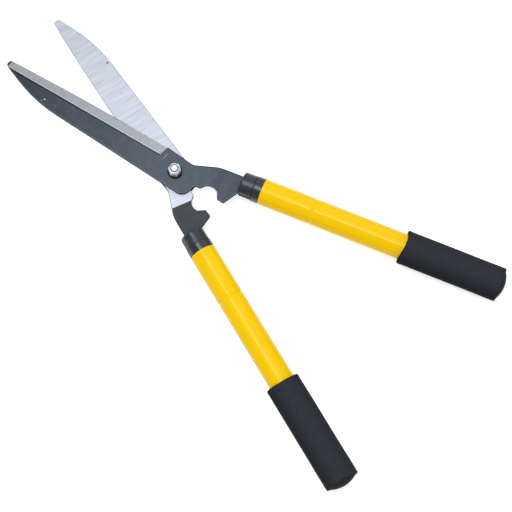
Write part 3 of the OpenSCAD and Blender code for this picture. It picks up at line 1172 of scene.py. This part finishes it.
        # Foam moulded with a skin: dull, lighter on top as painted light and black at its front rim
        # as painted shadow.
        foam = ClosedCellFoam(
            f"foam_closed_cell_moulded_sleeve_{self.side}", roughness=0.7, specular=0.05,
            axis=self.axis,
        )
        made = piece_from(f"{self.side}_foam_sleeve", shape, [foam.material()])
        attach(made, self.half.value)
        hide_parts(f"{self.side}_grip")
        log.info("built %s with %d faces", made.name, len(made.data.polygons))
        return made

    def build(self) -> None:
        """Builds the grip and dresses the ferrule, tube and end cap."""
        # Polypropylene from a fine spark-eroded mould: satin, so the light band has soft edges.
        ferrule = SeamedMoulding(
            f"polypropylene_moulded_satin_black_{self.side}", roughness=0.36, specular=0.6,
            dark="1f232a", light="262a32", cloud_mm=16.0, grain_mm=0.9, grain_depth_mm=0.02,
            grain_strength=0.12, rough_swing=0.03, root=PIVOT + self.root, axis=self.axis,
        )
        dress_node(f"{self.side}_ferrule", ferrule.material())
        dress_node(f"{self.side}_end_cap", POLYPROPYLENE_MATT.material())
        dress_node(f"{self.side}_tube", POWDER_COAT.material())
        self.build_grip()


@dataclass
class Lamp:
    """A rectangular soft box, aimed at a point."""

    name: str
    at: Vector
    target: Vector
    size: tuple[float, float]
    radiance: float
    tint: tuple[float, float, float] = (1.0, 1.0, 1.0)
    roll: float = 0.0

    def build(self) -> None:
        """Hangs the lamp; its power follows from the brightness of its face."""
        light = bpy.data.lights.new(self.name, "AREA")
        light.shape = "RECTANGLE"
        light.size, light.size_y = self.size
        light.energy = self.radiance * math.pi * self.size[0] * self.size[1]
        light.color = self.tint
        made = bpy.data.objects.new(self.name, light)
        made.location = self.at
        aim = (self.target - self.at).to_track_quat("-Z", "Y")
        made.rotation_euler = (aim @ Quaternion((0.0, 0.0, 1.0), self.roll)).to_euler()
        bpy.context.scene.collection.objects.link(made)
        log.info("hung %s", self.name)


@dataclass
class Studio:
    """A white floor, white surroundings, soft lamps and the camera of the photograph."""

    lens: float = 102.82
    sensor: float = 36.0
    reach: Vector = field(default_factory=lambda: Vector((-311.33, -395.84, 1312.26)) * MM)
    right: Vector = field(default_factory=lambda: Vector((0.694607, -0.719648, 0.006876)))
    up: Vector = field(default_factory=lambda: Vector((0.684617, 0.663681, 0.302008)))
    floor_size: float = 30.0
    floor_glow: float = 0.6
    surround: float = 0.55
    horizon: float = 0.65
    overhead: float = 0.35
    overhead_from: float = 0.45  # upright part of the ways that are fully dim
    warmth: tuple[float, float, float, float] = (1.0, 0.95, 0.9, 1.0)
    paint: str = "eeeeee"

    def build_camera(self) -> None:
        """Sets the camera where the photograph was taken from."""
        data = bpy.data.cameras.new("photo_camera")
        data.lens = self.lens
        data.sensor_width = self.sensor
        data.clip_end = 100.0
        made = bpy.data.objects.new("photo_camera", data)
        back = self.right.cross(self.up)
        turn = Matrix((self.right, self.up, back)).transposed().to_4x4()
        made.matrix_world = Matrix.Translation(PIVOT + self.reach) @ turn
        bpy.context.scene.collection.objects.link(made)
        bpy.context.scene.camera = made

    @staticmethod
    def seen(tree: Tree) -> Socket:
        """Tells the rays that show the surroundings from those that light the object.

        Args:
            tree: The node tree that takes the nodes.

        Returns:
            One for rays that show the surroundings, otherwise zero.
        """
        path = add_node(tree, "LightPath")
        shown = path.outputs[SHOWING_RAYS[0]]
        for kind in SHOWING_RAYS[1:]:
            shown = add_node(
                tree, "Math", {0: shown, 1: path.outputs[kind]}, operation="MAXIMUM"
            ).outputs[0]
        return shown

    def build_world(self) -> None:
        """Makes the surroundings: even for the light, white low down and dim overhead when seen."""
        world = bpy.data.worlds.new("white_surroundings")
        bpy.context.scene.world = world
        world.use_nodes = True
        tree = world.node_tree
        way = add_node(tree, "TexCoord").outputs["Generated"]
        height = add_node(tree, "SeparateXYZ", {0: way}).outputs[2]
        shown = add_node(
            tree, "MapRange",
            {0: height, 1: 0.0, 2: self.overhead_from, 3: self.horizon, 4: self.overhead},
        )
        seen = self.seen(tree)
        level = add_node(
            tree, "MapRange", {0: seen, 3: self.surround, 4: shown.outputs[0]}
        )
        tree.links.new(level.outputs[0], tree.nodes["Background"].inputs["Strength"])
        white = (1.0, 1.0, 1.0, 1.0)
        colour = add_node(
            tree, "Mix", {0: seen, 6: self.warmth, 7: white}, data_type="RGBA"
        )
        tree.links.new(colour.outputs[2], tree.nodes["Background"].inputs["Color"])

    def build_floor(self) -> None:
        """Lays the pale floor, which glows to white and keeps the shadow."""
        shape = bmesh.new()
        bmesh.ops.create_grid(shape, x_segments=1, y_segments=1, size=self.floor_size / 2)
        paint = bpy.data.materials.new("studio_floor_matt_white_paint")
        paint.use_nodes = True
        tree = paint.node_tree
        tree.nodes.remove(tree.nodes["Principled BSDF"])
        matt = add_node(tree, "BsdfDiffuse", {"Color": linear(self.paint)})
        seen = self.seen(tree)
        level = add_node(tree, "Math", {0: seen, 1: self.floor_glow}, operation="MULTIPLY")
        glow = add_node(tree, "Emission", {"Strength": level.outputs[0]})
        both = add_node(tree, "AddShader", {0: matt.outputs[0], 1: glow.outputs[0]})
        tree.links.new(both.outputs[0], tree.nodes["Material Output"].inputs["Surface"])
        floor = piece_from("studio_floor", shape, [paint])

    def build(self) -> None:
        """Sets up the whole studio."""
        bpy.context.scene.view_settings.view_transform = "Standard"
        self.build_camera()
        self.build_world()
        self.build_floor()
        middle = Vector((0.0, 0.0, 0.0))
        sky = (0.79, 0.89, 1.0)
        lamps = (
            Lamp(
                "top_box", at=Vector((-0.15, 0.22, 1.6)), target=middle, size=(1.15, 1.05),
                radiance=2.4, tint=sky,
            ),
            Lamp(
                "key_strip", at=Vector((-0.22, 0.15, 1.55)), target=middle, size=(1.1, 0.3),
                radiance=5.5, tint=sky, roll=math.radians(37),
            ),
            Lamp(
                "side_box", at=Vector((1.4, 0.45, 1.2)), target=middle, size=(1.0, 1.4),
                radiance=0.9,
            ),
        )
        for lamp in lamps:
            lamp.build()


def main() -> None:
    """Builds the studio and the shears in order."""
    logging.basicConfig(level=logging.INFO, format="%(name)s: %(message)s")
    Studio().build()
    Blade(Half.FRONT, "front_blade").build()
    Blade(Half.REAR, "rear_blade").build()
    PivotHardware().build()
    Handle(
        Half.FRONT, "right", root=Vector((21.2, -13.176, 0.0)) * MM, lean=math.radians(21.4),
        grip_len=95.5 * MM, saddle=2.7 * MM, recede=0.0,
    ).build()
    Handle(
        Half.REAR, "left", root=Vector((-21.2, -13.176, 0.0)) * MM, lean=math.radians(-15.4),
        grip_len=105.0 * MM, saddle=1.2 * MM, recede=1.2 * MM,
    ).build()


if __name__ == "__main__":
    main()
